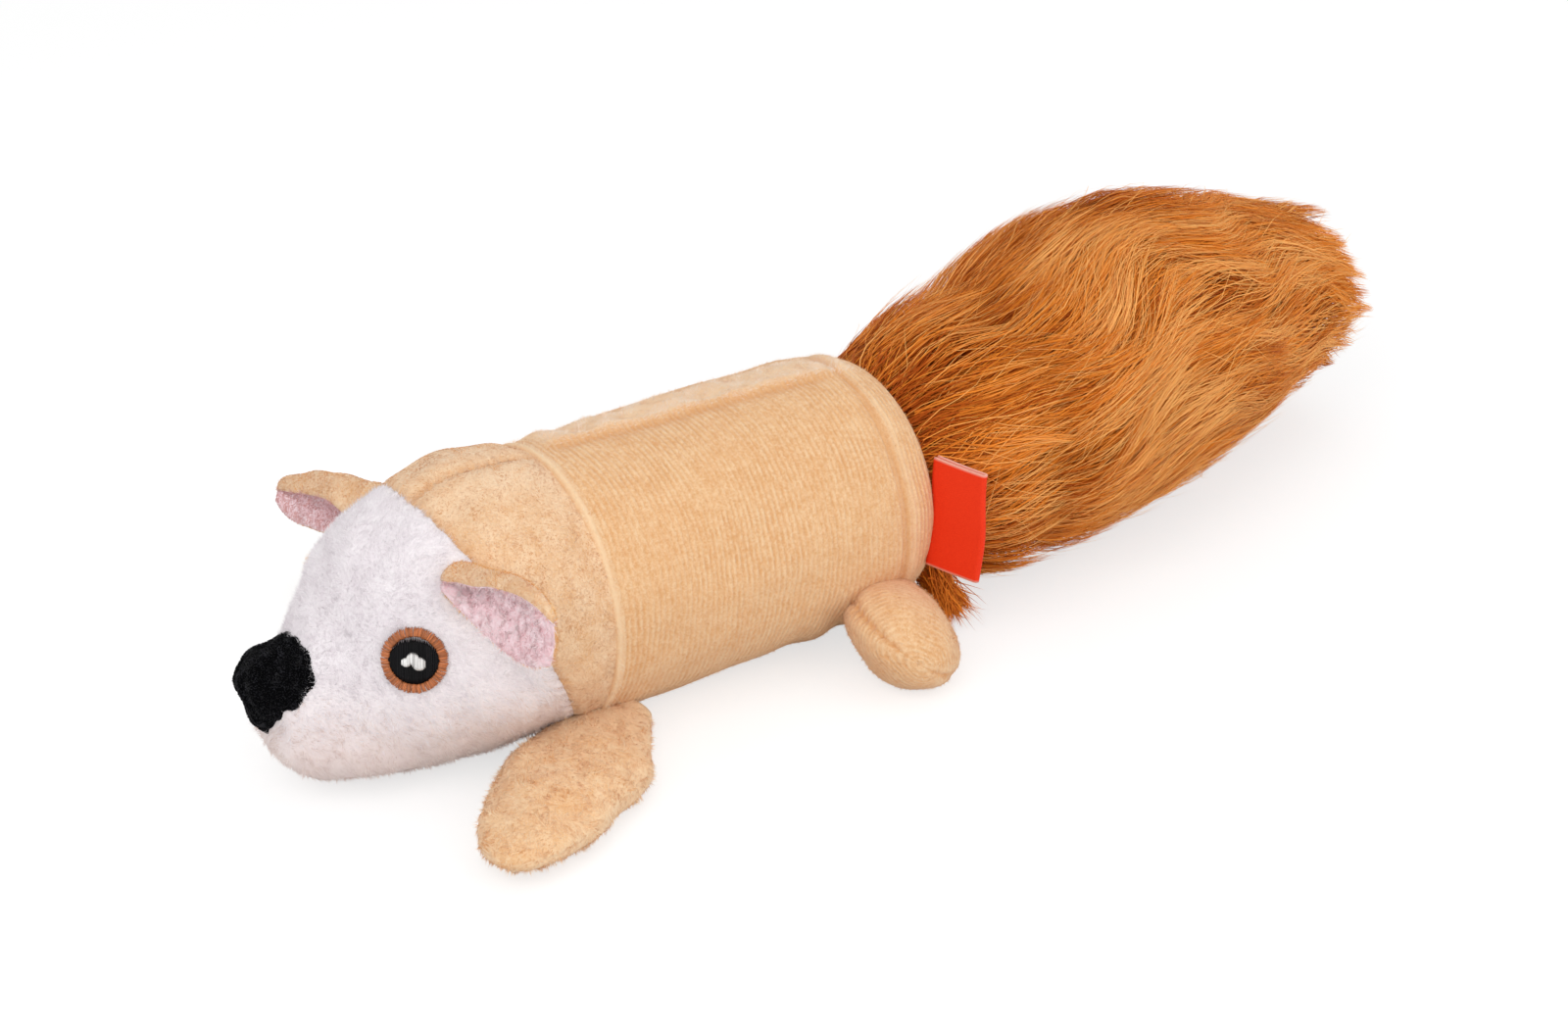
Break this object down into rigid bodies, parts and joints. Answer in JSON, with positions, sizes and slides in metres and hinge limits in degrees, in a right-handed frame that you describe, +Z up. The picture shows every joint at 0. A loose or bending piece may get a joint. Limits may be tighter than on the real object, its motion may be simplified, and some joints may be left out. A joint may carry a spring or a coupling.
{
  "type": "plush dog toy",
  "caption": "Lying plush animal dog toy with a crinkle sleeve and squeaker body, stuffed paws, cupped ears, embroidered eyes, a fuzzy nose and a large long-pile tail",
  "frame": {"origin": "under the middle of the bounding box, on the table that the toy lies on", "axes": "+X is the toy's left, -Y is the way the nose points, +Z is up"},
  "size_m": [0.1388, 0.3208, 0.0749],
  "materials": {
    "tan_plush": "short-pile velour plush with fine knit wales",
    "white_plush": "short fuzzy plush",
    "pink_plush": "short velour plush",
    "black_plush": "fuzzy plush",
    "orange_fur": "long wavy faux fur pile",
    "fibrefill": "loose polyester fibre filling, matt",
    "clear_film": "thin stiff crackling film",
    "white_plastic": "soft blown plastic, matt",
    "copper_thread": "satin embroidery thread, radial stitches",
    "black_thread": "satin embroidery thread, upright stitches",
    "white_thread": "satin embroidery thread",
    "red_satin": "satin ribbon, folded"
  },
  "bodies": {
    "torso": {"body_sleeve": "tan_plush", "rear_panel": "tan_plush", "crinkle_film_roll": "clear_film", "body_filling_front": "fibrefill", "body_filling_rear": "fibrefill", "squeaker_base": "white_plastic", "squeaker_bellows": "white_plastic", "squeaker_whistle": "white_plastic", "squeaker_reed": "white_plastic", "face_panel": "white_plush", "nape_panel_left": "tan_plush", "nape_panel_right": "tan_plush", "nose_panel": "black_plush", "head_filling": "fibrefill", "eye_ring_left": "copper_thread", "eye_pupil_left": "black_thread", "eye_glint_left": "white_thread", "eye_ring_right": "copper_thread", "eye_pupil_right": "black_thread", "eye_glint_right": "white_thread", "tail_collar": "orange_fur"},
    "tail_root": {"tail_root_gather": "orange_fur"},
    "tail": {"tail_fur_upper": "orange_fur", "tail_fur_lower": "orange_fur", "tail_filling": "fibrefill"},
    "front_paw_left": {"front_paw_upper_left": "tan_plush", "front_paw_lower_left": "tan_plush", "front_paw_filling_left": "fibrefill"},
    "rear_paw_left": {"rear_paw_upper_left": "tan_plush", "rear_paw_lower_left": "tan_plush", "rear_paw_filling_left": "fibrefill"},
    "front_paw_right": {"front_paw_upper_right": "tan_plush", "front_paw_lower_right": "tan_plush", "front_paw_filling_right": "fibrefill"},
    "rear_paw_right": {"rear_paw_upper_right": "tan_plush", "rear_paw_lower_right": "tan_plush", "rear_paw_filling_right": "fibrefill"},
    "ear_left": {"ear_back_left": "tan_plush", "ear_lining_left": "pink_plush"},
    "ear_right": {"ear_back_right": "tan_plush", "ear_lining_right": "pink_plush"},
    "tag": {"ribbon_tag": "red_satin"},
    "squeaker_top": {"squeaker_crown": "white_plastic"}
  },
  "joints": [
    {"name": "tail_swing", "type": "hinge", "parent": "torso", "child": "tail_root", "pos_m": [0.00896, 0.00469, 0.0305], "axis": [0, 0, 1], "range_deg": [-15, 15]},
    {"name": "tail_lift", "type": "hinge", "parent": "tail_root", "child": "tail", "pos_m": [0.00896, 0.00469, 0.0305], "axis": [1, 0, 0], "range_deg": [-12, 16]},
    {"name": "front_paw_left_flap", "type": "hinge", "parent": "torso", "child": "front_paw_left", "pos_m": [0.02796, -0.10091, 0.005], "axis": [0, -1, 0], "range_deg": [-50, 15]},
    {"name": "rear_paw_left_flap", "type": "hinge", "parent": "torso", "child": "rear_paw_left", "pos_m": [0.02796, -0.01341, 0.005], "axis": [0, -1, 0], "range_deg": [-50, 15]},
    {"name": "front_paw_right_flap", "type": "hinge", "parent": "torso", "child": "front_paw_right", "pos_m": [-0.01004, -0.10091, 0.005], "axis": [0, 1, 0], "range_deg": [-50, 15]},
    {"name": "rear_paw_right_flap", "type": "hinge", "parent": "torso", "child": "rear_paw_right", "pos_m": [-0.01004, -0.01341, 0.005], "axis": [0, 1, 0], "range_deg": [-50, 15]},
    {"name": "ear_left_bend", "type": "hinge", "parent": "torso", "child": "ear_left", "pos_m": [0.03171, -0.11891, 0.051], "axis": [-0.2026, -0.8915, -0.4052], "range_deg": [-12, 25], "stiffness_Nm_per_rad": 0.002},
    {"name": "ear_right_bend", "type": "hinge", "parent": "torso", "child": "ear_right", "pos_m": [-0.01379, -0.11891, 0.051], "axis": [-0.2026, 0.8915, 0.4052], "range_deg": [-4, 35], "stiffness_Nm_per_rad": 0.002},
    {"name": "tag_flap", "type": "hinge", "parent": "torso", "child": "tag", "pos_m": [0.03876, -0.00091, 0.0325], "axis": [0, -0.225, -0.9744], "range_deg": [-40, 14], "stiffness_Nm_per_rad": 0.0005},
    {"name": "squeaker_squeeze", "type": "slide", "parent": "torso", "child": "squeaker_top", "axis": [0, 0, -1], "range_m": [0, 0.008], "stiffness_N_per_m": 300, "deforming": ["squeaker_bellows"]}
  ]
}
